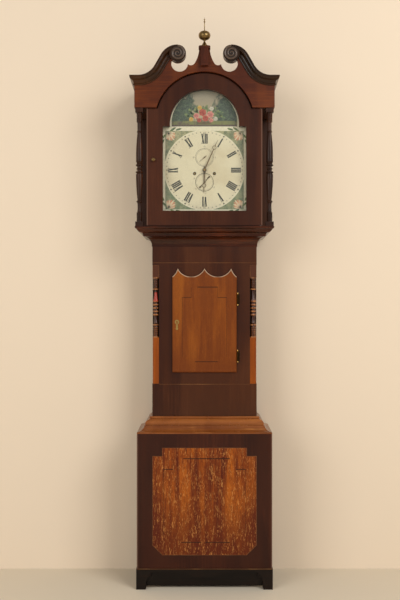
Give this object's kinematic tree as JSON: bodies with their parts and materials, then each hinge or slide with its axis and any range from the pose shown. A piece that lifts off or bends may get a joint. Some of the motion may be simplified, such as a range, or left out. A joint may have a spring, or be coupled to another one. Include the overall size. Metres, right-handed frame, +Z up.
{
  "type": "longcase clock",
  "caption": "Tall weight-driven floor clock with a swan-neck hood, painted arch dial, cusped trunk door, panelled base, opening doors, sliding hood and a striking pendulum movement.",
  "frame": {"origin": "on the floor, under the middle of the clock's overall width and depth", "axes": "+Z up, +X to the right seen from the front, +Y back towards the wall"},
  "size_m": [0.616, 0.2905, 2.355],
  "materials": {
    "mahogany": "polished mahogany, French polish",
    "dark_mahogany": "dark polished mahogany",
    "figured_oak": "polished quarter-sawn oak",
    "satinwood": "polished light wood",
    "deal": "unpolished old softwood",
    "glass": "old clear window glass",
    "painted_dial": "painted iron, satin",
    "brass": "aged brass",
    "blued_steel": "blackened steel",
    "steel": "polished steel",
    "cast_iron": "bare cast iron",
    "bell_metal": "cast bell metal",
    "gut": "twisted gut line"
  },
  "bodies": {
    "case": {"backboard": "deal", "case_boards": "mahogany", "base_frame": "dark_mahogany", "base_panel": "figured_oak", "plinth_skirt": "dark_mahogany", "base_moulding": "mahogany", "trunk_front": "mahogany", "trunk_columns": "dark_mahogany", "column_stops": "satinwood", "throat_moulding": "dark_mahogany", "seatboard": "deal", "dial_plate": "painted_dial", "front_plate": "brass", "back_plate": "brass", "back_cock": "brass", "bell": "bell_metal", "bell_stand": "steel", "trunk_hinge_leaves": "brass", "line_tops": "gut"},
    "hood": {"hood_base": "dark_mahogany", "hood_carcass": "mahogany", "dial_mask": "dark_mahogany", "pediment_board": "mahogany", "swan_necks": "dark_mahogany", "scroll_rosettes": "dark_mahogany", "finial_plinth": "mahogany", "finial": "brass", "hood_columns": "dark_mahogany"},
    "hood_door": {"hood_door": "mahogany", "hood_door_glass": "glass", "hood_door_pull": "brass", "hood_door_pivots": "steel"},
    "trunk_door": {"trunk_door": "figured_oak", "trunk_door_lock": "brass", "door_hinge_leaves": "brass"},
    "centre_arbor": {"centre_wheel": "brass", "cannon_wheel": "brass", "minute_hand": "blued_steel"},
    "third_arbor": {"third_wheel": "brass"},
    "escape_arbor": {"escape_wheel": "brass", "seconds_hand": "blued_steel"},
    "going_great": {"going_barrel": "brass"},
    "minute_arbor": {"minute_wheel": "brass"},
    "hour_arbor": {"hour_wheel": "brass", "hour_hand": "blued_steel"},
    "date": {"date_hand": "blued_steel"},
    "pallets": {"anchor": "steel"},
    "pendulum": {"pendulum_rod": "steel", "pendulum_bob": "brass"},
    "strike_great": {"strike_barrel": "brass"},
    "pin_arbor": {"pin_wheel": "brass"},
    "gathering_arbor": {"gathering_wheel": "brass"},
    "warning_arbor": {"warning_wheel": "brass"},
    "fly_arbor": {"fly": "brass"},
    "hammer_arbor": {"hammer": "steel"},
    "going_drive": {"going_weight": "cast_iron", "going_line": "gut"},
    "strike_drive": {"strike_weight": "cast_iron", "strike_line": "gut"}
  },
  "joints": [
    {"name": "hood_slide", "type": "slide", "parent": "case", "child": "hood", "axis": [0, -1, 0], "range_m": [0, 0.28]},
    {"name": "hood_door_swing", "type": "hinge", "parent": "hood", "child": "hood_door", "pos_m": [0.232, -0.11, 1.74], "axis": [0, 0, 1], "range_deg": [0, 110]},
    {"name": "trunk_door_swing", "type": "hinge", "parent": "case", "child": "trunk_door", "pos_m": [0.1388, -0.06005, 1.09], "axis": [0, 0, 1], "range_deg": [0, 115]},
    {"name": "centre_turn", "type": "hinge", "parent": "case", "child": "centre_arbor", "pos_m": [0, -0.03225, 1.734], "axis": [0, 1, 0], "continuous": true},
    {"name": "third_turn", "type": "hinge", "parent": "case", "child": "third_arbor", "pos_m": [0.01096, -0.03225, 1.76257], "axis": [0, 1, 0], "continuous": true},
    {"name": "escape_turn", "type": "hinge", "parent": "case", "child": "escape_arbor", "pos_m": [0, -0.03225, 1.787], "axis": [0, 1, 0], "continuous": true},
    {"name": "going_great_turn", "type": "hinge", "parent": "case", "child": "going_great", "pos_m": [0.041, -0.03225, 1.7196], "axis": [0, 1, 0], "continuous": true},
    {"name": "minute_turn", "type": "hinge", "parent": "case", "child": "minute_arbor", "pos_m": [0.02291, -0.03225, 1.75691], "axis": [0, 1, 0], "continuous": true},
    {"name": "hour_turn", "type": "hinge", "parent": "case", "child": "hour_arbor", "pos_m": [0, -0.03225, 1.734], "axis": [0, 1, 0], "continuous": true},
    {"name": "date_turn", "type": "hinge", "parent": "case", "child": "date", "pos_m": [0, -0.03225, 1.6835], "axis": [0, 1, 0], "continuous": true},
    {"name": "pendulum_swing", "type": "hinge", "parent": "case", "child": "pendulum", "pos_m": [0, 0.05975, 1.8167], "axis": [0, 1, 0], "range_deg": [-3, 3]},
    {"name": "pallet_rock", "type": "hinge", "parent": "case", "child": "pallets", "pos_m": [0, 0.00075, 1.8167], "axis": [0, 1, 0], "range_deg": [-3, 3]},
    {"name": "strike_great_turn", "type": "hinge", "parent": "case", "child": "strike_great", "pos_m": [-0.041, -0.03225, 1.7196], "axis": [0, 1, 0], "continuous": true},
    {"name": "pin_turn", "type": "hinge", "parent": "case", "child": "pin_arbor", "pos_m": [-0.04705, -0.03225, 1.75782], "axis": [0, 1, 0], "continuous": true},
    {"name": "gathering_turn", "type": "hinge", "parent": "case", "child": "gathering_arbor", "pos_m": [-0.03355, -0.03225, 1.7791], "axis": [0, 1, 0], "continuous": true},
    {"name": "warning_turn", "type": "hinge", "parent": "case", "child": "warning_arbor", "pos_m": [-0.04501, -0.03225, 1.79976], "axis": [0, 1, 0], "continuous": true},
    {"name": "fly_turn", "type": "hinge", "parent": "case", "child": "fly_arbor", "pos_m": [-0.0347, -0.03225, 1.81875], "axis": [0, 1, 0], "continuous": true},
    {"name": "hammer_lift", "type": "hinge", "parent": "case", "child": "hammer_arbor", "pos_m": [-0.06, -0.03225, 1.781], "axis": [0, 1, 0], "range_deg": [-12, 0]},
    {"name": "going_weight_drop", "type": "slide", "parent": "case", "child": "going_drive", "axis": [0, 0, 1], "range_m": [-0.56, 0.62], "deforming": ["going_line"]},
    {"name": "strike_weight_drop", "type": "slide", "parent": "case", "child": "strike_drive", "axis": [0, 0, 1], "range_m": [-0.56, 0.62], "deforming": ["strike_line"]}
  ],
  "couplings": [
    {"joint": "third_turn", "follows": "centre_turn", "ratio": -7.5},
    {"joint": "escape_turn", "follows": "centre_turn", "ratio": 60},
    {"joint": "going_great_turn", "follows": "centre_turn", "ratio": -0.083333},
    {"joint": "minute_turn", "follows": "centre_turn", "ratio": -1},
    {"joint": "hour_turn", "follows": "centre_turn", "ratio": 0.083333},
    {"joint": "pallet_rock", "follows": "pendulum_swing", "ratio": 1},
    {"joint": "fly_turn", "follows": "warning_turn", "ratio": -8},
    {"joint": "gathering_turn", "follows": "warning_turn", "ratio": -0.125},
    {"joint": "pin_turn", "follows": "warning_turn", "ratio": 0.015625},
    {"joint": "strike_great_turn", "follows": "warning_turn", "ratio": -0.0016026}
  ]
}
